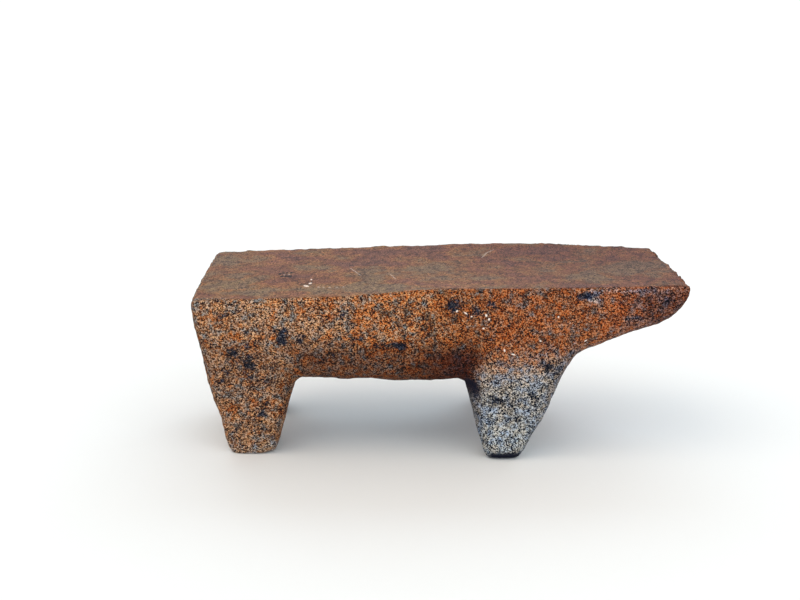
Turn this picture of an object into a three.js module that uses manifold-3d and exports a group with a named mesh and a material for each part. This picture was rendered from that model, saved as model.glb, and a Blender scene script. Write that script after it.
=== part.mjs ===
// Grinding stone: a thick slab with a flat worn top, carved in one piece with four tapered legs.
// The left legs stand flush with the left end, and the slab overhangs the right legs in a wedge-shaped nose.
// Millimetres, +X along the length to the nose, +Y from the near face to the far face, +Z up.
// The origin is on the floor, under the middle of the stone.
import * as THREE from "three";
import { mergeVertices } from "three/addons/utils/BufferGeometryUtils.js";
import Module from "manifold-3d";

// Overall sizes
const LENGTH = 343; // left end to the tip of the nose
const WIDTH = 176; // near face to far face
const LEFT_HEIGHT = 116; // floor to the top at the left end
const NOSE_HEIGHT = 124; // floor to the top at the nose

// Worn top
const TOP_CROWN = 1.2; // the top's rise amid its length over a straight line from end to end
const TOP_DISH = 1.4; // hollow ground into the middle of the top
const FAR_RISE = 2.3; // the top rises this much from its middle line to its far edge, at the nose
const NEAR_DIP = 2.4; // the top falls this much towards the near edge of its left part
const NEAR_DIP_LENGTH = 130; // how far that fall reaches from the left end
const TOP_EDGE_ROUND = 3; // rounding where the top meets the sides

// Sides and ends
const LEFT_END_LEAN = 24; // how far the left end slopes in from the top to the floor
const LEFT_END_CURVE = 1.3; // above 1 the slope is steeper near the top
const LEFT_END_SKEW = 2; // the left end runs in this far from its near side to its far side
const LEFT_SIDE_LEAN = 21; // how far the near and far faces slope in at the left end
const RIGHT_SIDE_LEAN = 0.5; // and from the right legs on
const PLAN_CORNER_ROUND = 6; // upright corners of the slab
const FAR_NOSE_CUT_LENGTH = 100; // the far face runs in towards the nose over this length
const FAR_NOSE_CUT_WIDTH = 31; // and by this much at the tip
const NOSE_END_SKEW = 8; // the nose's end runs in this far from its near corner to its far side
const FAR_NOSE_ROUND = 8; // upright corner where it meets the end of the nose

// Underside
const BELLY_HEIGHT = 51.2; // floor to the underside between the pairs of legs, at its lowest
const BELLY_ENDS_RISE = 3.3; // the underside's rise from there to the legs' roots
const BELLY_SIDES_RISE = 4; // its rise from the middle to the near and far faces
const BELLY_EDGE_ROUND = 22; // rounding between the underside and the sides
const NOSE_THICKNESS = 25; // from the top to the underside's slope, at the tip
const OVERHANG_SLOPE = 0.35; // the underside's rise towards the tip, for each millimetre along

// Legs. A taper is what one side moves out for each millimetre up.
const LEFT_FOOT_LENGTH = 31.5; // along the stone, at the floor
const LEFT_FOOT_WIDTH = 36.5; // across the stone, at the floor
const LEFT_LEG_INNER_TAPER = 0.28;
const LEFT_LEG_GAP_TAPER = 0.2;
const RIGHT_FOOT_LENGTH = 22;
const RIGHT_FOOT_WIDTH = 36;
const RIGHT_FOOT_TO_NOSE = 116; // from the foot's outer edge to the tip of the nose
const RIGHT_LEG_INNER_TAPER = 0.28;
const RIGHT_LEG_OUTER_TAPER = 0.54;
const RIGHT_LEG_GAP_TAPER = 0.38;
const LEG_CORNER_ROUND = 10; // upright corners of the legs
const INNER_ROOT_ROUND = 3.5; // hollow where the legs meet the belly
const OUTER_ROOT_ROUND = 4; // hollow where the right legs meet the overhang
const SOLE_ROUND = 6; // edges of the soles
const SOLE_CUT = 1.6; // the rounded feet are cut flat this far up from their lowest point
const FOOT_CHIP = 5; // height of the chip under the near right foot
const FOOT_CHIP_STEEPNESS = 0.9; // the chip's depth for each millimetre of its height

// Unevenness left by the carver's stone hammer
const WOBBLE = 0.35; // height of each of the waves that make the faces uneven
const WOBBLE_WAVE = 74; // length of the longest of them

// Facets
const FACET = 7.7; // usual size
const EDGE_FACET = 3.6; // size near the edges of the top
const FIT_STEPS = 4; // how often each corner of a facet is moved onto the surface
const GRADIENT_STEP = 0.2; // distance over which the surface's direction is measured
const CELL_MARGIN = 0.05; // share of its grid cell by which each corner keeps clear of the cell's walls

const HALF_WIDTH = WIDTH / 2;
const RIGHT_FOOT_END = LENGTH - RIGHT_FOOT_TO_NOSE;
const RIGHT_FOOT_START = RIGHT_FOOT_END - RIGHT_FOOT_LENGTH;
const BELOW_FLOOR = 1.5 * FACET; // how far the shape is worked out under the floor before it is cut flat
const UPPER_BAND = 12; // the uneven waves fade out over this height under the worn top

const mix = (a, b, t) => a + (b - a) * t;
const clamp = (t) => Math.min(1, Math.max(0, t));
const smoothStep = (low, high, v) => {
  const t = clamp((v - low) / (high - low));
  return t * t * (3 - 2 * t);
};

// In each function below a negative value is inside the stone, and positive outside.
// The larger of two values cuts one shape by the other, with the edge rounded over.
function cut(a, b, round) {
  const near = Math.max(round - Math.abs(a - b), 0);
  return Math.max(a, b) + (near * near) / (4 * round);
}

// The smaller of two values joins two shapes, with the corner between them filled.
function join(a, b, round) {
  return -cut(-a, -b, round);
}

// A face that slopes: its distance, where offset is measured level and grows by slope for each millimetre up.
const sloped = (offset, slope) => offset / Math.hypot(1, slope);

// Height of the worn top. x is counted from the left end, here and below.
function topHeight(x, y) {
  const along = x / LENGTH;
  const crown = TOP_CROWN * Math.sin(Math.PI * clamp(along));
  const dishAlong = Math.max(0, 1 - (2 * along - 1) ** 2);
  const dishAcross = Math.max(0, 1 - (y / HALF_WIDTH) ** 2);
  const rise = FAR_RISE * along ** 2 * clamp(y / HALF_WIDTH) ** 2;
  const dipAlong = 1 - smoothStep(NEAR_DIP_LENGTH * 0.8, NEAR_DIP_LENGTH * 1.2, x);
  const dipAcross = smoothStep(0, 1, -y / HALF_WIDTH);
  return (
    mix(LEFT_HEIGHT, NOSE_HEIGHT, along) +
    crown +
    rise -
    TOP_DISH * dishAlong * dishAcross -
    NEAR_DIP * dipAlong * dipAcross
  );
}

// The sides and the ends, down to the floor: the block before its underside was carved.
function block(x, y, z) {
  const drop = clamp(1 - z / LEFT_HEIGHT);
  const sideLean = mix(LEFT_SIDE_LEAN, RIGHT_SIDE_LEAN, clamp(x / RIGHT_FOOT_START));
  const side = sloped(Math.abs(y) - HALF_WIDTH + sideLean * drop, sideLean / LEFT_HEIGHT);
  const across = (y + HALF_WIDTH) / WIDTH;
  const leftEnd = sloped(
    LEFT_END_LEAN * drop ** LEFT_END_CURVE + LEFT_END_SKEW * across - x,
    LEFT_END_LEAN / LEFT_HEIGHT,
  );
  const rightEnd = x - LENGTH + NOSE_END_SKEW * across;
  const cutLength = Math.hypot(FAR_NOSE_CUT_LENGTH, FAR_NOSE_CUT_WIDTH);
  const farCorner =
    ((x - LENGTH) * FAR_NOSE_CUT_WIDTH +
      (y - HALF_WIDTH) * FAR_NOSE_CUT_LENGTH +
      FAR_NOSE_CUT_LENGTH * FAR_NOSE_CUT_WIDTH) /
    cutLength;
  const right = cut(rightEnd, farCorner, FAR_NOSE_ROUND);
  return cut(side, Math.max(leftEnd, right), PLAN_CORNER_ROUND);
}

// The slab's underside: the belly between the legs, and the slope under the nose.
function undersideHeight(x, y) {
  const bellyStart = LEFT_END_LEAN + LEFT_FOOT_LENGTH;
  const along = clamp((x - bellyStart) / (RIGHT_FOOT_START - bellyStart));
  const belly = BELLY_HEIGHT + BELLY_ENDS_RISE * (2 * along - 1) ** 2;
  const overhang = NOSE_HEIGHT - NOSE_THICKNESS + OVERHANG_SLOPE * (x - LENGTH);
  const sides = BELLY_SIDES_RISE * (y / HALF_WIDTH) ** 2;
  return -join(-belly, -overhang, INNER_ROOT_ROUND) + sides;
}

// Both left legs, as far as the sides and the left end leave them.
function leftLegs(x, y, z) {
  const inner = x - LEFT_END_LEAN - LEFT_FOOT_LENGTH - LEFT_LEG_INNER_TAPER * z;
  const gap = HALF_WIDTH - LEFT_SIDE_LEAN - LEFT_FOOT_WIDTH - LEFT_LEG_GAP_TAPER * z;
  return cut(
    sloped(inner, LEFT_LEG_INNER_TAPER),
    sloped(gap - Math.abs(y), LEFT_LEG_GAP_TAPER),
    LEG_CORNER_ROUND,
  );
}

// Both right legs, as far as the sides leave them.
function rightLegs(x, y, z) {
  const inner = RIGHT_FOOT_START - RIGHT_LEG_INNER_TAPER * z - x;
  const outer = x - RIGHT_FOOT_END - RIGHT_LEG_OUTER_TAPER * z;
  const gap = HALF_WIDTH - RIGHT_SIDE_LEAN - RIGHT_FOOT_WIDTH - RIGHT_LEG_GAP_TAPER * z;
  return cut(
    cut(sloped(inner, RIGHT_LEG_INNER_TAPER), sloped(outer, RIGHT_LEG_OUTER_TAPER), LEG_CORNER_ROUND),
    sloped(gap - Math.abs(y), RIGHT_LEG_GAP_TAPER),
    LEG_CORNER_ROUND,
  );
}

// Long shallow waves over all faces but the ground top, from three directions.
function wobble(x, y, z) {
  const turn = (2 * Math.PI) / WOBBLE_WAVE;
  const strength = WOBBLE * smoothStep(0, UPPER_BAND, topHeight(x, y) - z);
  return (
    strength *
    (Math.sin(turn * (x + 0.6 * y) + 0.9) * Math.cos(turn * 1.3 * z + 0.4) +
      Math.sin(turn * 1.7 * (y - 0.4 * x) + 2.1) * Math.cos(turn * 1.1 * (z + 0.3 * x)) +
      Math.sin(turn * 2.3 * (x - z) + 0.7) * Math.cos(turn * 1.9 * (y + z) + 1.9))
  );
}

// The chip under the near side of the near right foot. Of the stone's right half only the feet reach so low.
function footChip(x, y, z) {
  if (x < LENGTH / 2) return -LENGTH;
  const nearFace = -HALF_WIDTH + RIGHT_SIDE_LEAN;
  const inFront = nearFace + (FOOT_CHIP - z) * FOOT_CHIP_STEEPNESS - y;
  return sloped(inFront, FOOT_CHIP_STEEPNESS);
}

// The whole stone.
function stone(x, y, z) {
  const slab = undersideHeight(x, y) - z;
  const rightRoot = mix(
    INNER_ROOT_ROUND,
    OUTER_ROOT_ROUND,
    smoothStep(RIGHT_FOOT_START, RIGHT_FOOT_END, x),
  );
  const withLegs = join(
    join(slab, leftLegs(x, y, z), INNER_ROOT_ROUND),
    rightLegs(x, y, z),
    rightRoot,
  );
  const lowerRound = mix(
    LEG_CORNER_ROUND,
    BELLY_EDGE_ROUND,
    smoothStep(BELLY_HEIGHT * 0.7, BELLY_HEIGHT, z),
  );
  const sides = block(x, y, z);
  const chipped = cut(cut(sides, withLegs, lowerRound), footChip(x, y, z), SOLE_ROUND / 3);
  const standing = cut(chipped, -z - SOLE_CUT, SOLE_ROUND);
  return cut(standing, z - topHeight(x, y), TOP_EDGE_ROUND) + wobble(x, y, z);
}

// The grid's levels run parallel to the worn top: a level is a height where the top is as high as at the nose.
const heightOf = (x, y, level) => (level * topHeight(x, y)) / NOSE_HEIGHT;
const stoneAt = (x, y, level) => stone(x, y, heightOf(x, y, level));

// Grid lines from low to high, closer together inside the given bands.
function gridLines(low, high, fineBands) {
  const lines = [low];
  while (lines.at(-1) < high) {
    const at = lines.at(-1);
    const fine = fineBands.some(([from, to]) => at >= from - EDGE_FACET && at < to);
    lines.push(at + (fine ? EDGE_FACET : FACET));
  }
  return lines;
}

// The direction in which the stone function grows in the grid, with its length.
function gradient(p) {
  const step = GRADIENT_STEP;
  return new THREE.Vector3(
    stoneAt(p.x + step, p.y, p.z) - stoneAt(p.x - step, p.y, p.z),
    stoneAt(p.x, p.y + step, p.z) - stoneAt(p.x, p.y - step, p.z),
    stoneAt(p.x, p.y, p.z + step) - stoneAt(p.x, p.y, p.z - step),
  ).divideScalar(2 * step);
}

// A face of the grid with its inside corners crossed would join two sheets of the surface along one edge, so
// the stone is filled in there, at the outside corner that is nearest to it.
function settleCrossedFaces(values, counts, at, steps) {
  let crossed = true;
  while (crossed) {
    crossed = false;
    for (let k = 0; k < counts[2]; k++)
      for (let j = 0; j < counts[1]; j++)
        for (let i = 0; i < counts[0]; i++)
          for (let axis = 0; axis < 3; axis++) {
            const u = steps[(axis + 1) % 3];
            const v = steps[(axis + 2) % 3];
            const face = [
              [0, 0],
              [1, 0],
              [1, 1],
              [0, 1],
            ].map(([a, b]) => [i, j, k].map((n, m) => n + a * u[m] + b * v[m]));
            if (face[2].some((n, m) => n >= counts[m])) continue;
            const [a, b, c, d] = face.map((corner) => at(...corner));
            const inside = [a, b, c, d].map((n) => values[n] < 0);
            if (inside[0] !== inside[2] || inside[1] !== inside[3] || inside[0] === inside[1]) continue;
            const outside = inside[0] ? [b, d] : [a, c];
            const nearest = values[outside[0]] < values[outside[1]] ? outside[0] : outside[1];
            values[nearest] = -Number.EPSILON;
            crossed = true;
          }
  }
}

// Faceted surface of the stone function: one corner in each grid cell that the surface crosses, and one
// four-sided facet round each grid edge that it crosses.
function facetedStone() {
  const margin = 2 * EDGE_FACET;
  const band = 2 * EDGE_FACET;
  const lines = [
    gridLines(-margin, LENGTH + margin, [
      [-band, band],
      [LENGTH - band, LENGTH + band],
    ]),
    gridLines(-HALF_WIDTH - margin, HALF_WIDTH + margin, [
      [-HALF_WIDTH - band, -HALF_WIDTH + band],
      [HALF_WIDTH - band, HALF_WIDTH + band],
    ]),
    gridLines(-BELOW_FLOOR, NOSE_HEIGHT + margin, [
      [-EDGE_FACET, band],
      [NOSE_HEIGHT - band, NOSE_HEIGHT + band],
    ]),
  ];
  const counts = lines.map((l) => l.length);
  const at = (i, j, k) => (k * counts[1] + j) * counts[0] + i;
  const values = new Float64Array(counts[0] * counts[1] * counts[2]);
  for (let k = 0; k < counts[2]; k++)
    for (let j = 0; j < counts[1]; j++)
      for (let i = 0; i < counts[0]; i++)
        values[at(i, j, k)] = stoneAt(lines[0][i], lines[1][j], lines[2][k]);
  const steps = [
    [1, 0, 0],
    [0, 1, 0],
    [0, 0, 1],
  ];
  settleCrossedFaces(values, counts, at, steps);

  const corners = [];
  const cornerOf = new Map();
  for (let k = 0; k + 1 < counts[2]; k++)
    for (let j = 0; j + 1 < counts[1]; j++)
      for (let i = 0; i + 1 < counts[0]; i++) {
        const corner = cellCorner([i, j, k], lines, values, at);
        if (!corner) continue;
        cornerOf.set(at(i, j, k), corners.length);
        corners.push(corner);
      }

  const triangles = [];
  for (let k = 1; k + 1 < counts[2]; k++)
    for (let j = 1; j + 1 < counts[1]; j++)
      for (let i = 1; i + 1 < counts[0]; i++)
        for (let axis = 0; axis < 3; axis++) {
          const start = [i, j, k];
          const inside = values[at(...start)] < 0;
          const end = start.map((n, m) => n + steps[axis][m]);
          if (inside === values[at(...end)] < 0) continue;
          const u = steps[(axis + 1) % 3];
          const v = steps[(axis + 2) % 3];
          const round = [
            [1, 1],
            [0, 1],
            [0, 0],
            [1, 0],
          ].map(([a, b]) => cornerOf.get(at(...start.map((n, m) => n - a * u[m] - b * v[m]))));
          if (!inside) round.reverse();
          addFacet(triangles, corners, round);
        }
  return { corners, triangles };
}

// The corner in one grid cell, on the surface, or null where the surface misses the cell.
function cellCorner(cell, lines, values, at) {
  const crossing = new THREE.Vector3();
  let count = 0;
  const corner = (bits) => cell.map((n, m) => n + ((bits >> m) & 1));
  for (let bits = 0; bits < 8; bits++)
    for (let axis = 0; axis < 3; axis++) {
      if ((bits >> axis) & 1) continue;
      const a = corner(bits);
      const b = corner(bits | (1 << axis));
      const va = values[at(...a)];
      const vb = values[at(...b)];
      if (va < 0 === vb < 0) continue;
      const t = va / (va - vb);
      const point = a.map((n, m) => mix(lines[m][n], lines[m][b[m]], t));
      crossing.add(new THREE.Vector3(...point));
      count++;
    }
  if (!count) return null;
  crossing.divideScalar(count);
  const low = new THREE.Vector3(...cell.map((n, m) => mix(lines[m][n], lines[m][n + 1], CELL_MARGIN)));
  const high = new THREE.Vector3(...cell.map((n, m) => mix(lines[m][n + 1], lines[m][n], CELL_MARGIN)));
  for (let n = 0; n < FIT_STEPS; n++) {
    const direction = gradient(crossing);
    const size = direction.lengthSq();
    crossing.addScaledVector(direction, -stoneAt(crossing.x, crossing.y, crossing.z) / size);
    crossing.clamp(low, high);
  }
  return crossing.setZ(heightOf(crossing.x, crossing.y, crossing.z));
}

// Two triangles for a four-sided facet, split along its shorter diagonal.
function addFacet(triangles, corners, [a, b, c, d]) {
  const short = corners[a].distanceTo(corners[c]) <= corners[b].distanceTo(corners[d]);
  if (short) triangles.push(a, b, c, a, c, d);
  else triangles.push(b, c, d, b, d, a);
}

const wasm = await Module();
wasm.setup();

function manifoldOf(positions, triVerts) {
  return new wasm.Manifold(
    new wasm.Mesh({ numProp: 3, vertProperties: positions, triVerts: new Uint32Array(triVerts) }),
  );
}

// Everything above the floor, as a box well clear of the stone on its other sides.
function aboveFloor() {
  const box = new THREE.BoxGeometry(3 * LENGTH, 3 * WIDTH, 3 * NOSE_HEIGHT);
  box.translate(LENGTH / 2, 0, (3 * NOSE_HEIGHT) / 2);
  box.deleteAttribute("normal");
  box.deleteAttribute("uv");
  const merged = mergeVertices(box);
  return manifoldOf(merged.attributes.position.array, merged.index.array);
}

// The stone with flat soles, as a geometry whose box stands on the origin.
function stoneGeometry() {
  const { corners, triangles } = facetedStone();
  const positions = new Float32Array(corners.flatMap((c) => [c.x, c.y, c.z]));
  const cutFlat = manifoldOf(positions, triangles).intersect(aboveFloor());
  const mesh = cutFlat.getMesh();
  const geometry = new THREE.BufferGeometry();
  geometry.setAttribute("position", new THREE.BufferAttribute(mesh.vertProperties, 3));
  geometry.setIndex(new THREE.BufferAttribute(mesh.triVerts, 1));
  geometry.computeBoundingBox();
  const middle = geometry.boundingBox.getCenter(new THREE.Vector3());
  geometry.translate(-middle.x, -middle.y, 0);
  geometry.computeVertexNormals();
  return geometry;
}

const speckledStone = new THREE.MeshStandardMaterial({
  color: new THREE.Color(0.42, 0.29, 0.21),
  roughness: 0.95,
  metalness: 0,
});

const grindingStone = new THREE.Mesh(stoneGeometry(), speckledStone);
grindingStone.name = "grinding_stone";

const group = new THREE.Group();
group.add(grindingStone);

export default group;
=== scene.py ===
"""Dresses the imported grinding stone: a fine pecked skin, speckled stone, a pale floor and soft light.

Metres, in the frame of the CAD part: +X along the stone to its nose, -Y towards the camera, +Z up.
The places and radii of painted patches and marks are in millimetres, in the same frame.
"""
import math

import bmesh
import bpy
import numpy as np
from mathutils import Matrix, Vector, kdtree, noise


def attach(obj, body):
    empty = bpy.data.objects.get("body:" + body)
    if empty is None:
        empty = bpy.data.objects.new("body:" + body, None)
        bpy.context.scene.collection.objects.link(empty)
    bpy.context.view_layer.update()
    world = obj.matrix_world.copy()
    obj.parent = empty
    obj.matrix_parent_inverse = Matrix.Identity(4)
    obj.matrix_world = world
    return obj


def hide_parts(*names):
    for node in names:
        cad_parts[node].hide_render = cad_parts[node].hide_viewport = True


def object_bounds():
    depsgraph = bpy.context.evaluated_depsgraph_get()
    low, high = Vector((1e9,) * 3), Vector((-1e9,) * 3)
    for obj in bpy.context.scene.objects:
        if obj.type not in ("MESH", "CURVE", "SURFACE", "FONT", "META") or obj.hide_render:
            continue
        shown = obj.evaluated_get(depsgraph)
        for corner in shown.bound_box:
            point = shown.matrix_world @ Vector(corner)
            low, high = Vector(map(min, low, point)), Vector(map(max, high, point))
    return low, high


MM = 0.001

# Camera: fitted to the outline of the stone in the photograph
CAMERA_PLACE = (-0.0273, -1.289, 0.370)
CAMERA_PITCH = 12  # degrees below level
LENS = 81
SENSOR = 36

# Studio
FLOOR_RADIUS = 14
FLOOR_COLOUR = (0.86, 0.85, 0.84, 1)
FLOOR_ROUGHNESS = 0.9
HORIZON = (0.93, 0.99, 1.06, 1)  # light from low down all round
ZENITH = (0.60, 0.56, 0.51, 1)  # light from above
# Name, direction to the light, its width in degrees, strength and colour
SUNS = (
    ("key", (-0.7, -0.5, 1.1), 48, 0.7, (1.0, 0.88, 0.72)),
    ("front_fill", (0.15, -1.0, 0.33), 80, 1.5, (0.80, 0.93, 1.0)),
    ("back_fill", (0.1, 1.0, 0.32), 70, 2.4, (0.72, 0.89, 1.0)),
)

# Skin mesh
WELD = 0.01 * MM  # corners of the CAD mesh closer than this become one
VOXEL = 1.62 * MM
SMOOTH_STEPS = 7
SMOOTH_STRENGTH = 0.5  # share of the way to its neighbours' middle that a point moves in a step
EDGE_BAND = 7 * MM  # the smoothing fades out over this depth under the worn top, to keep its edge
SOLE_KEPT = 1.5 * MM  # the smoothing leaves points lower than this alone
SKIN_GROWTH = 1.2 * MM  # the sides grow by this before the relief, so that it lies about the CAD surface

# Where the worn top is. A slope is the upward part of the surface's direction: 1 on level ground
TOP_LOWEST = 0.105  # every part of the worn top lies higher than this
TOP_SLOPE = 0.97
WORN_SLOPES = (0.82, 0.97)  # from pecked to worn
WORN_BAND = 4 * MM  # the wear reaches down this far at most
RAGGED = 0.07  # waves of the slope that make the wear's edge uneven
RAGGED_SIZE = 4 * MM
RIM_SLOPES = (0.35, 0.85)  # along the rounded edge of the top
RIM_BAND = 5 * MM  # that edge ends this far under the top
NEAR_FACE = -88  # y of the near face, in millimetres
EDGE_WAVE_SIZE = 9 * MM  # waves of the line where the pecked near face ends on the top

# Relief, as depths of what the carver's hammer and the wear took off
LUMP_SIZE = 17 * MM
LUMP_DEPTH = 0.55 * MM
PECK_SIZE = 5.2 * MM
PECK_DEPTH = 0.5 * MM
GRIT_SIZE = 2.8 * MM
GRIT_DEPTH = 0.28 * MM
CHIP_SIZE = 8 * MM
CHIP_DEPTH = 0.5 * MM
CHIP_BAND = 3.5 * MM  # how far from the top's edge the chips reach
CHIP_GROWTH = 0.35  # share of the chips' depth by which the edge grows before them
NOSE_CHIPS = 4  # the chips are this many times as deep on the nose
NOSE_START = 0.120  # from here on the chips get deeper, up to the next x
NOSE_FULL = 0.160
WORN_SIZE = 34 * MM
WORN_DEPTH = 0.10 * MM
SOLE_BAND = 2.5 * MM  # the relief fades out over this height above the flat soles

# Sizes of the noises painted on the mesh
PATCH_NOISE = 26 * MM
SMALL_PATCH_NOISE = 11 * MM
CLUSTER_NOISE = 7 * MM

# Grains of the stone
COARSE_GRAIN = 0.69 * MM
FINE_GRAIN = 0.42 * MM
BEND_SIZE = 1.3 * MM  # waves that keep the grains from being straight-edged
BEND = 0.8 * MM
HUE_PATCH = 3.4 * MM  # small patches of one colour
CLUSTER = 5.5 * MM  # dark patches among the grains
TINT = 5 * MM  # darker, bluer and brighter, more orange patches
STAIN = 10 * MM  # rusty and greyer patches
TOP_MOTTLE = 6 * MM  # small faint patches of the worn top
TOP_PATCH = 32 * MM  # and its large ones

# Surface of the pecked stone, and after it what comes off each value where the stone is worn
ROUGHNESS = 0.94
ROUGHNESS_WORN_OFF = 0.14
BUMP = 0.8
BUMP_WORN_OFF = 0.62
BUMP_HEIGHT = 0.45 * MM
BUMP_NOISE = 1.1 * MM
SPECULAR = 0.12

# Colours of the grains from the darkest to the lightest: place on the ramp and sRGB colour
RUSTY = (
    (0.10, (10, 13, 22)),
    (0.23, (48, 34, 26)),
    (0.37, (112, 66, 36)),
    (0.53, (170, 92, 42)),
    (0.70, (194, 118, 60)),
    (0.88, (218, 172, 126)),
)
ROSY = (
    (0.11, (14, 18, 30)),
    (0.25, (56, 48, 42)),
    (0.40, (112, 83, 61)),
    (0.55, (156, 112, 83)),
    (0.71, (186, 148, 116)),
    (0.88, (228, 208, 184)),
)
ASHEN = (
    (0.17, (12, 20, 38)),
    (0.31, (56, 62, 76)),
    (0.43, (118, 116, 114)),
    (0.57, (172, 166, 158)),
    (0.71, (214, 210, 203)),
    (0.85, (246, 245, 243)),
)
SLATE = ((0.08, (8, 12, 28)), (0.45, (40, 50, 72)), (0.85, (132, 138, 148)))
TOP_GRAINS = ((0.12, (10, 10, 16)), (0.5, (185, 181, 175)), (0.86, (255, 253, 248)))

# Colours of the patches, which the colours of the grains are multiplied by
RUST_TINTS = ((0.34, (158, 174, 196)), (0.48, (226, 208, 197)), (0.63, (249, 213, 176)))
PALE_TINTS = ((0.36, (193, 204, 220)), (0.5, (218, 214, 208)), (0.64, (228, 213, 194)))
TOP_PATCHES = (
    (0.38, (161, 109, 93)),
    (0.46, (184, 121, 91)),
    (0.53, (191, 134, 90)),
    (0.61, (172, 139, 110)),
)
TOP_MOTTLES = ((0.35, (168, 158, 168)), (0.5, (236, 231, 226)), (0.65, (255, 254, 234)))

# What the colour is multiplied by where the stone is redder, where painted bluish light from the floor
# goes, where painted shade goes, or where its top is deeper in tone
RUSSET = (1.0, 0.86, 1.0, 1)
PAINTED_FLOOR_BOUNCE = (0.83, 0.92, 1.03, 1)
SHADE = (0.16, 0.10, 0.14, 1)
DEEP_TOP = (0.69, 0.58, 0.61, 1)

# sRGB colours of the marks
FLECK_COLOUR = (228, 214, 202)
# Painted shadow, in the chipped corner under the near right foot and down the inner side of the right legs
CHIP_AND_STRIP_SHADOW_COLOUR = (14, 18, 34)
SCRATCH_COLOUR = (206, 186, 168)
CHIP_COLOUR = (232, 214, 198)
PIT_COLOUR = (30, 14, 12)

# Marks on the worn top: middle x and y, half size along each, and turn in degrees
CHIPS = (
    (-93.2, -49.0, 2.1, 4.2, 25),
    (-90.8, -41.0, 1.5, 3.4, -10),
    (-90.6, -29.0, 0.9, 2.6, 0),
)
SCRATCHES = (
    (-84.5, -53.5, 1.2, 2.6, 0),
    (-80.8, -54.5, 1.2, 2.6, 0),
    (-76.6, -55.5, 1.3, 2.8, 0),
    (-71.6, -56.0, 1.3, 2.6, 0),
    (-66.8, -55.0, 1.1, 2.4, 0),
    (-59.8, -5.5, 21.0, 0.9, -73),
    (-32.3, -27.5, 15.0, 0.7, -78),
    (40.2, 56.0, 12.0, 0.9, 61),
    (36.0, 43.0, 11.0, 0.8, 74),
    (-110.9, -11.0, 1.1, 2.6, 0),
    (-107.9, -10.5, 1.2, 2.8, 0),
)
PITS = (
    (-106.8, -17.0, 2.4, 5.0, 0),
    (-109.7, -16.0, 1.8, 4.0, 0),
    (-112.6, -17.0, 1.8, 4.0, 0),
    (-106.2, -5.0, 1.5, 3.6, 0),
    (-109.5, -4.5, 1.4, 3.4, 0),
    (-112.2, -4.5, 1.5, 3.4, 0),
    (-114.4, -8.0, 1.4, 4.2, 0),
)
TOP_HEIGHT = 118  # z of the marks' middles
TOP_MARK_DEPTH = 60  # half size in z, so that each mark reaches the surface wherever it lies
# White grains on the near face, in the same way, with z in place of y
FLECKS = (
    (31.6, 104.0, 1.1, 1.6, 15),
    (33.6, 101.3, 1.1, 1.3, -20),
    (29.8, 94.9, 1.2, 0.9, 20),
    (17.6, 105.5, 2.2, 0.7, -35),
    (21.6, 103.2, 1.0, 0.8, 0),
    (69.0, 86.0, 1.2, 0.8, -25),
    (81.0, 103.0, 0.9, 0.9, 0),
    (100.4, 85.4, 1.7, 0.8, 30),
    (44.4, 79.4, 0.9, 1.7, 20),
    (50.4, 76.6, 2.2, 0.8, -15),
    (11.6, 107.0, 0.9, 1.4, -30),
)
FLECK_DEPTH = 40  # half size in y, for the same reason

# Soft patches painted on the mesh: middle, radii and strength
DARK_PATCHES = (
    ((-95, -88, 86), (5, 30, 7), 1.2),
    ((-107, -88, 93), (3, 30, 3), 1.0),
    ((-108, -88, 85), (5, 30, 4), 1.0),
    ((-143, -88, 77), (5, 30, 4), 1.0),
    ((-132, -88, 71), (6, 30, 4), 1.0),
    ((-116, -88, 67), (6, 30, 4), 0.9),
    ((-121, -88, 55), (8, 30, 3), 0.7),
    ((-138, -88, 63), (14, 30, 7), 0.4),
    ((-122, -88, 36), (6, 30, 6), 0.8),
    ((-140, -88, 18), (4, 30, 4), 0.8),
    ((-150, -88, 103), (6, 30, 4), 0.6),
    ((-70, -88, 103), (10, 30, 7), 0.6),
    ((-33, -88, 82), (11, 30, 3), 1.1),
    ((-58, -88, 85), (6, 30, 3), 0.7),
    ((-135, -88, 35), (4, 30, 3), 0.6),
    ((-110, -88, 88), (3, 30, 5), 0.8),
    ((-75, -88, 75), (7, 30, 4), 0.7),
    ((101, -88, 118), (8, 30, 3), 1.2),
    ((11, -88, 111), (7, 30, 4), 1.0),
    ((35, -88, 112), (6, 30, 3), 1.0),
    ((24, -88, 106), (5, 30, 4), 0.7),
    ((75, -84, 67), (8, 30, 7), 0.8),
    ((50, -84, 43), (24, 30, 4), 0.7),
    ((48, -84, 4), (14, 30, 5), 0.6),
    ((140, -88, 115), (7, 60, 5), 0.7),
    ((158, -88, 116), (7, 60, 5), 0.7),
)
ASHY_PATCHES_AND_EDGE_HIGHLIGHT = (
    ((104, -88, 116), (6, 30, 4), 1.0),
    ((154, -88, 116), (12, 40, 5), 0.4),
    # A thin pale line along the near top edge of the nose: a painted highlight
    ((128, -90, 121), (26, 6, 1.6), 0.6),
)
OLIVE_PATCHES = (
    ((-12, 0, 119), (30, 16, 30), 1.0),
    ((-42, -62, 119), (24, 8, 30), 1.0),
    ((-104, 74, 118), (18, 10, 30), 0.8),
    ((35, -45, 119), (45, 22, 30), 0.6),
    ((142, -20, 122), (22, 28, 30), 0.9),
    ((-110, -62, 118), (28, 18, 30), 0.5),
    ((-150, -62, 117), (24, 22, 30), 0.7),
    ((-60, 40, 118), (40, 20, 30), -0.6),
    ((-10, 58, 118), (40, 18, 30), -0.5),
    ((92, 50, 120), (40, 25, 30), -0.7),
)


def smooth_step(low, high, value):
    t = np.clip((value - low) / (high - low), 0, 1)
    return t * t * (3 - 2 * t)


def linear(red, green, blue):
    """An sRGB colour from 0 to 255 as Blender's linear one, with alpha."""
    channels = []
    for c in (red, green, blue):
        c /= 255
        channels.append(c / 12.92 if c <= 0.04045 else ((c + 0.055) / 1.055) ** 2.4)
    return (*channels, 1)


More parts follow.
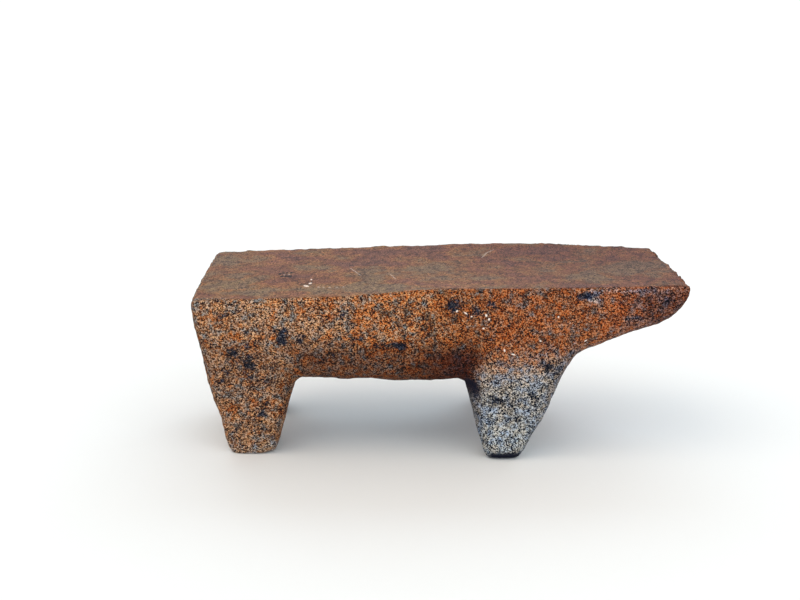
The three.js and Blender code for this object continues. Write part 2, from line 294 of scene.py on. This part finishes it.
def waves(points, size, seed):
    """Smooth noise from about -1 to 1, in lumps of about this size."""
    shift = np.array((5.7, 3.1, 7.9)) * seed
    return np.array([noise.noise(p) for p in points / size + shift])


def craters(points, size, seed):
    """From 0 between the craters to 1 at the bottom of each, in craters of about this size."""
    shift = np.array((2.3, 9.1, 4.7)) * seed
    nearest = np.array([noise.voronoi(p)[0][0] for p in points / size + shift])
    return np.clip(1 - (nearest / 0.75) ** 2, 0, 1)


def skin_mesh(cad):
    """A fine mesh of the CAD stone, in even small squares."""
    rough = bpy.data.objects.new("rough_copy", cad.data.copy())
    bpy.context.scene.collection.objects.link(rough)
    bm = bmesh.new()
    bm.from_mesh(rough.data)
    bmesh.ops.remove_doubles(bm, verts=bm.verts, dist=WELD)
    bm.to_mesh(rough.data)
    bm.free()
    remesh = rough.modifiers.new("even", "REMESH")
    remesh.mode = "VOXEL"
    remesh.voxel_size = VOXEL
    remesh.use_smooth_shade = True
    depsgraph = bpy.context.evaluated_depsgraph_get()
    mesh = bpy.data.meshes.new_from_object(rough.evaluated_get(depsgraph))
    bpy.data.objects.remove(rough)
    return mesh


def read_points(mesh, key="co"):
    """The mesh's points, or with the key normal the surface's direction at each."""
    values = np.zeros(len(mesh.vertices) * 3)
    mesh.vertices.foreach_get(key, values)
    return values.reshape(-1, 3)


def write_points(mesh, points):
    mesh.vertices.foreach_set("co", points.ravel())
    mesh.update()


def nearest_distance(points, targets):
    """Distance from each point to the nearest target, and that target's number."""
    tree = kdtree.KDTree(len(targets))
    for n, target in enumerate(targets):
        tree.insert(target, n)
    tree.balance()
    found = [tree.find(p) for p in points]
    return np.array([f[2] for f in found]), np.array([f[1] for f in found])


def depth_under_top(points, normals):
    """How far each point lies under the worn top, measured straight up."""
    top = points[(normals[:, 2] > TOP_SLOPE) & (points[:, 2] > TOP_LOWEST)]
    flat = points * (1, 1, 0)
    _, number = nearest_distance(flat, top * (1, 1, 0))
    return top[number, 2] - points[:, 2]


def smoothed(mesh, points, weight):
    """The points moved towards the middle of their neighbours, many times over."""
    edges = np.zeros(len(mesh.edges) * 2, int)
    mesh.edges.foreach_get("vertices", edges)
    a, b = edges.reshape(-1, 2).T
    count = len(points)
    shares = np.bincount(a, minlength=count) + np.bincount(b, minlength=count)
    for _ in range(SMOOTH_STEPS):
        middle = np.stack(
            [
                np.bincount(a, points[b, m], count) + np.bincount(b, points[a, m], count)
                for m in range(3)
            ],
            1,
        )
        points = points + SMOOTH_STRENGTH * weight[:, None] * (middle / shares[:, None] - points)
    return points


def blob(points, place, radii):
    """From 1 at a place, in millimetres, down to 0 well outside its radii."""
    away = (points - np.array(place) * MM) / (np.array(radii) * MM)
    return np.exp(-(away**2).sum(1))


def with_patches(values, points, patches):
    """The values with soft patches added, each given by its middle, radii and strength."""
    for place, radii, strength in patches:
        values = values + strength * blob(points, place, radii)
    return values


def carve(points, normals, worn, rim):
    """Cuts the relief into the points: pecked sides, a ground top and a chipped edge."""
    sides = 1 - worn
    pecked = (
        LUMP_DEPTH * (0.5 + 0.5 * waves(points, LUMP_SIZE, 1))
        + PECK_DEPTH * craters(points, PECK_SIZE, 2)
        + GRIT_DEPTH * (0.5 + 0.5 * waves(points, GRIT_SIZE, 3))
    )
    ground = WORN_DEPTH * (0.5 + 0.5 * waves(points, WORN_SIZE, 4))
    near_rim = np.clip(1 - rim / CHIP_BAND, 0, 1)
    on_nose = smooth_step(NOSE_START, NOSE_FULL, points[:, 0])
    chips = CHIP_DEPTH * (1 + (NOSE_CHIPS - 1) * on_nose) * near_rim
    grown = sides * SKIN_GROWTH + CHIP_GROWTH * chips
    chips = chips * np.clip(0.45 + 1.3 * waves(points, CHIP_SIZE, 5), 0, 1)
    taken = sides * pecked + worn * ground + chips - grown
    sole = (1 - smooth_step(0, SOLE_BAND, points[:, 2])) * (normals[:, 2] < -0.7)
    return points - normals * (taken * (1 - sole))[:, None]


def worn_edge(points):
    """From 0 at the top's near edge to 1 further in.

    The pecked skin reaches up onto the top, furthest at the left end and amid the length.
    """
    x, y, _ = points.T / MM
    reach = -2 + 8 * np.exp(-(((x - 8) / 34) ** 2)) + 12 * np.exp(-(((x + 170) / 24) ** 2))
    reach += 4 * waves(points, EDGE_WAVE_SIZE, 14)
    return smooth_step(-6, 9, y - NEAR_FACE - reach)


def rust_and_pale(points, patches, small_patches, clusters):
    """How rusty the pecked faces are, most of all right of the middle but not on the nose, and how pale.

    The near right leg is pale below a sloping line, and the left feet are a little pale.
    """
    x, y, z = points.T / MM
    rust = 0.06 + 0.69 * smooth_step(-130, -10, x) + 0.3 * patches + 0.25 * small_patches
    rust += 0.2 * smooth_step(0, 60, x)
    rust += 0.3 * blob(points, (-84, -88, 112), (10, 30, 6)) - 0.7 * smooth_step(105, 150, x)
    leg_top = 69 + 0.12 * (x - 50) + 5 * small_patches + 3 * clusters
    leg_side = smooth_step(18, 30, x + 14 * smooth_step(54, 40, z))
    leg = smooth_step(20, -24, z - leg_top) * leg_side * smooth_step(10, -30, y)
    foot_top = 8 + 4 * clusters
    foot = 0.45 * smooth_step(10, -8, z - foot_top) * smooth_step(-100, -112, x)
    foot_edge = 0.6 * blob(points, (-117, -72, 7), (5, 30, 4))
    return rust - leg, np.max([leg, foot, foot_edge], 0)


def shade_and_inner(points, normals, small_patches, pale):
    """Painted shade on the pecked faces, and the painted shadow down the inner side of the right legs."""
    x, _, z = points.T / MM
    middle = smooth_step(-108, -88, x)
    # Painted shade low on the near face, where it turns under the slab, reaching onto the left leg
    under = smooth_step(93, 73, z) * (0.3 + 0.38 * middle + 0.3 * smooth_step(-30, 15, x))
    under = under * (middle + (1 - middle) * (0.5 + 0.5 * smooth_step(40, 60, z)))
    under = under * (1 - pale) * smooth_step(36, 22, x + 8 * small_patches)
    # Painted shade on the ends, where the faces turn sideways
    ends = 0.4 * smooth_step(0.3, 0.7, np.abs(normals[:, 0])) * smooth_step(5, 40, z)
    # Painted shade in the crease where the belly meets the right leg
    crease = blob(points, (15, -80, 66), (11, 60, 20))
    # Painted shade on the nose's sides, on faces that turn away from the top
    tip = 0.58 * smooth_step(115, 160, x) * smooth_step(0.7, 0.2, normals[:, 2])
    # Painted shadow on the inner side face of the right legs
    inner = smooth_step(0.4, 0.7, -normals[:, 0]) * smooth_step(36, 52, z) * smooth_step(0, 12, x)
    inner = inner * smooth_step(45, 30, x)
    shade = np.max([under, tip, 0.95 * crease * (1 - 0.5 * pale), ends, 0.97 * inner], 0)
    # Darker right of the middle, above the feet
    right = 0.22 * smooth_step(-30, 20, x) * smooth_step(10, 45, z)
    return 1 - (1 - shade) * (1 - right), inner


def foot_chip_shadow(points):
    """From 0 to 1 where a painted shadow goes, in the chipped corner under the near right foot."""
    x, y, z = points.T / MM
    along = smooth_step(33, 37, x)
    return smooth_step(7, 4, z) * smooth_step(-79, -82, y) * along * smooth_step(62, 57, x)


def top_tone(points):
    """How deep the worn top's colour is: most at the far right, least at the near left."""
    x, y, _ = points.T / MM
    tone = 0.25 + smooth_step(-40, 120, x) * (0.3 + 0.7 * smooth_step(-80, 70, y))
    tone += 0.6 * smooth_step(130, 165, x) * smooth_step(-20, -80, y)
    tone -= 0.5 * smooth_step(-30, -75, y) * smooth_step(70, 0, x)
    return np.clip(tone, 0, 1.2)


def paint_attributes(mesh, points, normals, worn):
    """Where the stone is worn, rusty, pale, dark and so on, and where painted shade and light go, kept with
    the mesh for its material.
    """
    x, y, z = points.T / MM
    patches = waves(points, PATCH_NOISE, 11)
    small_patches = waves(points, SMALL_PATCH_NOISE, 12)
    clusters = waves(points, CLUSTER_NOISE, 13)
    rust, pale = rust_and_pale(points, patches, small_patches, clusters)
    dark = with_patches(0.6 * clusters + 0.3 * small_patches, points, DARK_PATCHES)
    ashy_and_highlight = with_patches(0, points, ASHY_PATCHES_AND_EDGE_HIGHLIGHT)
    shade, inner = shade_and_inner(points, normals, small_patches, pale)
    russet = (0.5 * smooth_step(0, 50, x) + 0.5 * smooth_step(95, 140, x)) * (1 - pale)
    values = {
        "worn": worn,
        "rust": np.clip(rust, 0, 1),
        # The pale leg and feet, ashen patches, and a painted highlight along the near top edge of the nose
        "pale": np.maximum(pale, np.clip(ashy_and_highlight, 0, 1) * smooth_step(0, -60, y)) * (1 - worn),
        "dark": np.clip(dark, 0, 1),
        # Painted shade, with the darkening right of the middle; none on the worn top
        "shade": np.clip(shade, 0, 1) * (1 - worn),
        # Painted shadow in the chipped corner under the near right foot and down the inner side of the
        # right legs
        "painted_shadow": np.maximum(foot_chip_shadow(points), 0.85 * inner),
        "russet": np.clip(russet, 0, 1),
        # Painted bluish light bounced from the floor, on the pale leg's lower part
        "painted_floor_bounce": pale * smooth_step(52, 18, z),
        "olive": with_patches(0, points, OLIVE_PATCHES),
        "tone": top_tone(points),
    }
    for name, value in values.items():
        attribute = mesh.attributes.new(name, "FLOAT", "POINT")
        attribute.data.foreach_set("value", value.astype(np.float32))


class Nodes:
    """Short calls for building a material."""

    def __init__(self, name):
        self.material = bpy.data.materials.new(name)
        self.material.use_nodes = True
        self.tree = self.material.node_tree
        self.shader = self.tree.nodes["Principled BSDF"]

    def add(self, kind, inputs=(), **settings):
        node = self.tree.nodes.new(kind)
        for key, value in settings.items():
            setattr(node, key, value)
        for socket, value in dict(inputs).items():
            self.feed(node.inputs[socket], value)
        return node

    def feed(self, socket, value):
        if isinstance(value, bpy.types.NodeSocket):
            self.tree.links.new(value, socket)
        else:
            socket.default_value = value

    def math(self, operation, a, b, clamp=False):
        node = self.add("ShaderNodeMath", {0: a, 1: b}, operation=operation, use_clamp=clamp)
        return node.outputs[0]

    def ramp(self, factor, stops):
        node = self.add("ShaderNodeValToRGB", {"Fac": factor})
        elements = node.color_ramp.elements
        while len(elements) < len(stops):
            elements.new(0.5)
        for element, (place, colour) in zip(elements, stops):
            element.position = place
            element.color = linear(*colour)
        return node.outputs["Color"]

    def mix(self, factor, a, b, blend="MIX"):
        node = self.add("ShaderNodeMix", data_type="RGBA", blend_type=blend)
        self.feed(node.inputs[0], factor)
        self.feed(node.inputs[6], a)
        self.feed(node.inputs[7], b)
        return node.outputs[2]

    def step(self, value, low, high):
        node = self.add(
            "ShaderNodeMapRange",
            {"Value": value, "From Min": low, "From Max": high},
            interpolation_type="SMOOTHSTEP",
        )
        return node.outputs[0]

    def spot(self, place, middle, radii, turn):
        """From 1 at the middle of an oval, in millimetres, to 0 outside it."""
        local = self.add(
            "ShaderNodeMapping",
            {
                "Vector": place,
                "Location": Vector(middle) * MM,
                "Rotation": [math.radians(angle) for angle in turn],
                "Scale": Vector(radii) * MM,
            },
            vector_type="TEXTURE",
        )
        return self.add(
            "ShaderNodeTexGradient", {"Vector": local.outputs[0]}, gradient_type="SPHERICAL"
        ).outputs["Fac"]

    def spots(self, place, ovals):
        total = 0.0
        for middle, radii, turn in ovals:
            total = self.math("ADD", self.spot(place, middle, radii, turn), total)
        return total

    def attribute(self, name):
        return self.add("ShaderNodeAttribute", attribute_name=name).outputs["Fac"]

    def noise(self, place, size, detail, roughness):
        node = self.add(
            "ShaderNodeTexNoise",
            {"Vector": place, "Scale": 1 / size, "Detail": detail, "Roughness": roughness},
        )
        return node.outputs["Fac"]

    def cells(self, place, size):
        return self.add("ShaderNodeTexVoronoi", {"Vector": place, "Scale": 1 / size})

    def random(self, coarse, fine, channel):
        """A value from 0 to 1 for each grain, mostly of the coarse ones."""
        a, b = (
            self.add("ShaderNodeSeparateColor", {"Color": cells.outputs["Color"]}).outputs[channel]
            for cells in (coarse, fine)
        )
        return self.math("ADD", self.math("MULTIPLY", a, 0.72), self.math("MULTIPLY", b, 0.28))

    def scattered(self, value, grain, spread, low, high):
        """The value turned into 0 or 1 grain by grain, so that two colours meet in a speckle."""
        shift = self.math("MULTIPLY", self.math("SUBTRACT", grain, 0.5), spread)
        return self.step(self.math("ADD", value, shift), low, high)

    def less_where_worn(self, full, taken_off):
        worn = self.math("MULTIPLY", self.attribute("worn"), taken_off)
        return self.math("SUBTRACT", full, worn)


def bent_place(n, place):
    """The place, shifted a little by noise, so that the grains aren't straight-edged."""
    bend = n.add("ShaderNodeTexNoise", {"Vector": place, "Scale": 1 / BEND_SIZE, "Detail": 1.0})
    bend = n.add(
        "ShaderNodeVectorMath",
        {0: bend.outputs["Color"], 1: (0.5, 0.5, 0.5)},
        operation="SUBTRACT",
    )
    bend = n.add(
        "ShaderNodeVectorMath",
        {0: bend.outputs[0], "Scale": BEND},
        operation="SCALE",
    )
    return n.add("ShaderNodeVectorMath", {0: place, 1: bend.outputs[0]}, operation="ADD").outputs[0]


def pecked_colour(n, place, grain, hue):
    """Colour of the pecked faces, from the grains and the mesh's painted attributes, painted shade, shadow
    and floor bounce among them.
    """
    clusters = n.step(n.noise(place, CLUSTER, 3.0, 0.65), 0.48, 0.70)
    dark = n.math("ADD", n.math("MULTIPLY", n.attribute("dark"), 0.9), n.math("MULTIPLY", clusters, 0.4))
    spread = n.math("MULTIPLY", n.math("SUBTRACT", grain, 0.48), 1.5)
    darker = n.math("SUBTRACT", 0.5, n.math("MULTIPLY", dark, 0.33))
    speckle = n.math("ADD", spread, darker, clamp=True)
    rusty, rosy, ashen, slate = (n.ramp(speckle, stops) for stops in (RUSTY, ROSY, ASHEN, SLATE))
    stains = n.math("MULTIPLY", n.math("SUBTRACT", n.noise(place, STAIN, 3.0, 0.65), 0.5), 3.2)
    rust = n.math("ADD", n.attribute("rust"), stains)
    tints = n.noise(place, TINT, 2.5, 0.55)
    tint = n.mix(n.attribute("pale"), n.ramp(tints, RUST_TINTS), n.ramp(tints, PALE_TINTS))
    colour = n.mix(n.scattered(rust, hue, 1.6, 0.1, 0.9), rosy, rusty)
    colour = n.mix(n.scattered(n.attribute("pale"), hue, 0.9, 0.15, 0.85), colour, ashen)
    colour = n.mix(n.scattered(dark, hue, 0.9, 0.5, 0.85), colour, slate)
    colour = n.mix(1.0, colour, tint, "MULTIPLY")
    # Russet is the stone's own colour; the next two are painted bluish light bounced from the floor, and
    # painted shade
    for name, factor in (("russet", RUSSET), ("painted_floor_bounce", PAINTED_FLOOR_BOUNCE), ("shade", SHADE)):
        colour = n.mix(n.attribute(name), colour, factor, "MULTIPLY")
    flecks = n.spots(
        place,
        [((x, NEAR_FACE, z), (a, FLECK_DEPTH, b), (0, -turn, 0)) for x, z, a, b, turn in FLECKS],
    )
    colour = n.mix(n.step(flecks, 0.15, 0.6), colour, linear(*FLECK_COLOUR))
    # Painted shadow in the chipped corner under the near right foot and down the inner side of the right
    # legs
    return n.mix(n.attribute("painted_shadow"), colour, linear(*CHIP_AND_STRIP_SHADOW_COLOUR))


def top_marks(n, place, marks):
    """From 0 outside the marks on the worn top to 1 in them."""
    ovals = [((x, y, TOP_HEIGHT), (a, b, TOP_MARK_DEPTH), (0, 0, turn)) for x, y, a, b, turn in marks]
    return n.step(n.spots(place, ovals), 0.05, 0.5)


def worn_colour(n, place, grain):
    """Colour of the worn top: browns in faint patches, fine grains and a few marks."""
    patches = n.math(
        "ADD", n.noise(place, TOP_PATCH, 4.0, 0.62), n.math("MULTIPLY", n.attribute("olive"), 0.16)
    )
    across = n.add("ShaderNodeVectorMath", {0: place, 1: (1.0, 0.6, 1.0)}, operation="MULTIPLY")
    mottle = n.ramp(n.noise(across.outputs[0], TOP_MOTTLE, 4.0, 0.7), TOP_MOTTLES)
    colour = n.mix(1.0, n.ramp(patches, TOP_PATCHES), n.ramp(grain, TOP_GRAINS), "MULTIPLY")
    colour = n.mix(1.0, colour, mottle, "MULTIPLY")
    colour = n.mix(n.attribute("tone"), colour, DEEP_TOP, "MULTIPLY")
    scratches = n.math("MULTIPLY", n.step(grain, 0.1, 0.6), 0.5)
    scratches = n.math("MULTIPLY", top_marks(n, place, SCRATCHES), scratches)
    colour = n.mix(scratches, colour, linear(*SCRATCH_COLOUR))
    chips = n.math("MULTIPLY", top_marks(n, place, CHIPS), n.step(grain, 0.0, 0.4))
    colour = n.mix(chips, colour, linear(*CHIP_COLOUR))
    return n.mix(top_marks(n, place, PITS), colour, linear(*PIT_COLOUR))


def stone_material():
    n = Nodes("speckled_stone")
    place = n.add("ShaderNodeTexCoord").outputs["Object"]
    bent = bent_place(n, place)
    coarse = n.cells(bent, COARSE_GRAIN)
    fine = n.cells(bent, FINE_GRAIN)
    grain = n.random(coarse, fine, "Red")
    patch = n.step(n.noise(place, HUE_PATCH, 3.0, 0.65), 0.25, 0.75)
    own = n.math("MULTIPLY", n.random(coarse, fine, "Green"), 0.3)
    hue = n.math("ADD", own, n.math("MULTIPLY", patch, 0.7))
    worn = n.scattered(n.attribute("worn"), hue, 0.6, 0.3, 0.7)
    colour = n.mix(worn, pecked_colour(n, place, grain, hue), worn_colour(n, place, grain))
    n.feed(n.shader.inputs["Base Color"], colour)
    n.feed(n.shader.inputs["Roughness"], n.less_where_worn(ROUGHNESS, ROUGHNESS_WORN_OFF))
    n.shader.inputs["Specular IOR Level"].default_value = SPECULAR

    heights = n.math(
        "ADD",
        n.math("MULTIPLY", coarse.outputs["Distance"], 0.5),
        n.noise(place, BUMP_NOISE, 3.0, 0.65),
    )
    strength = n.less_where_worn(BUMP, BUMP_WORN_OFF)
    bump = n.add("ShaderNodeBump", {"Height": heights, "Strength": strength, "Distance": BUMP_HEIGHT})
    n.feed(n.shader.inputs["Normal"], bump.outputs[0])
    return n.material


def build_stone(cad, box):
    """The stone's visible skin, inside the box of the CAD stone that it stands in for."""
    mesh = skin_mesh(cad)
    points = read_points(mesh)
    depth = depth_under_top(points, read_points(mesh, "normal"))
    points = smoothed(mesh, points, smooth_step(0, EDGE_BAND, depth) * (points[:, 2] > SOLE_KEPT))
    write_points(mesh, points)
    normals = read_points(mesh, "normal")
    slope = normals[:, 2]
    edge = (slope > RIM_SLOPES[0]) & (slope < RIM_SLOPES[1]) & (depth < RIM_BAND)
    rim, _ = nearest_distance(points, points[edge])
    ragged = RAGGED * waves(points, RAGGED_SIZE, 6)
    worn = smooth_step(*WORN_SLOPES, slope + ragged) * (depth < WORN_BAND)
    worn = worn * worn_edge(points)
    points = np.clip(carve(points, normals, worn, rim), *box)
    write_points(mesh, points)
    paint_attributes(mesh, points, normals, worn)
    stone = bpy.data.objects.new("stone_skin", mesh)
    bpy.context.scene.collection.objects.link(stone)
    mesh.materials.clear()
    mesh.materials.append(stone_material())
    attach(stone, "root")
    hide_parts("grinding_stone")


def build_floor():
    """A pale floor that runs on as far as any view shows."""
    bm = bmesh.new()
    bmesh.ops.create_circle(bm, cap_ends=True, segments=64, radius=FLOOR_RADIUS)
    mesh = bpy.data.meshes.new("floor")
    bm.to_mesh(mesh)
    bm.free()
    floor = bpy.data.objects.new("floor", mesh)
    bpy.context.scene.collection.objects.link(floor)
    n = Nodes("pale_paper")
    n.shader.inputs["Base Color"].default_value = FLOOR_COLOUR
    n.shader.inputs["Roughness"].default_value = FLOOR_ROUGHNESS
    mesh.materials.append(n.material)


def build_world():
    """Light from all round, which changes with the height that it comes from."""
    world = bpy.data.worlds.new("studio")
    world.use_nodes = True
    nodes = world.node_tree.nodes
    place = nodes.new("ShaderNodeTexCoord")
    height = nodes.new("ShaderNodeSeparateXYZ")
    colours = nodes.new("ShaderNodeValToRGB")
    colours.color_ramp.elements[0].color = HORIZON
    colours.color_ramp.elements[1].color = ZENITH
    world.node_tree.links.new(place.outputs["Generated"], height.inputs[0])
    world.node_tree.links.new(height.outputs["Z"], colours.inputs["Fac"])
    world.node_tree.links.new(colours.outputs["Color"], nodes["Background"].inputs["Color"])
    bpy.context.scene.world = world


def add_sun(name, toward, spread, strength, colour):
    """A soft light from far away, where toward is the direction to it and spread its width in degrees."""
    light = bpy.data.lights.new(name, "SUN")
    light.angle = math.radians(spread)
    light.energy = strength
    light.color = colour
    lamp = bpy.data.objects.new(name, light)
    lamp.rotation_euler = Vector(toward).to_track_quat("Z", "Y").to_euler()
    bpy.context.scene.collection.objects.link(lamp)


def add_camera():
    camera = bpy.data.cameras.new("camera")
    camera.lens = LENS
    camera.sensor_width = SENSOR
    eye = bpy.data.objects.new("camera", camera)
    eye.location = CAMERA_PLACE
    eye.rotation_euler = (math.radians(90 - CAMERA_PITCH), 0, 0)
    bpy.context.scene.collection.objects.link(eye)
    bpy.context.scene.camera = eye
    bpy.context.scene.view_settings.view_transform = "Standard"


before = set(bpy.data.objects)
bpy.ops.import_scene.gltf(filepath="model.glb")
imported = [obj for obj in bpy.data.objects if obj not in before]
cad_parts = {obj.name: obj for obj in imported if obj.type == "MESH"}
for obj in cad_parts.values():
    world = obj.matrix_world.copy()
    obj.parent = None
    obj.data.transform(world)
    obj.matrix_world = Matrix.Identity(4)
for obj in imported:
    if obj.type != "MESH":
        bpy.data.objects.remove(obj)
cad_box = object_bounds()
build_world()
for sun in SUNS:
    add_sun(*sun)
add_camera()
build_floor()
build_stone(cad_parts["grinding_stone"], cad_box)
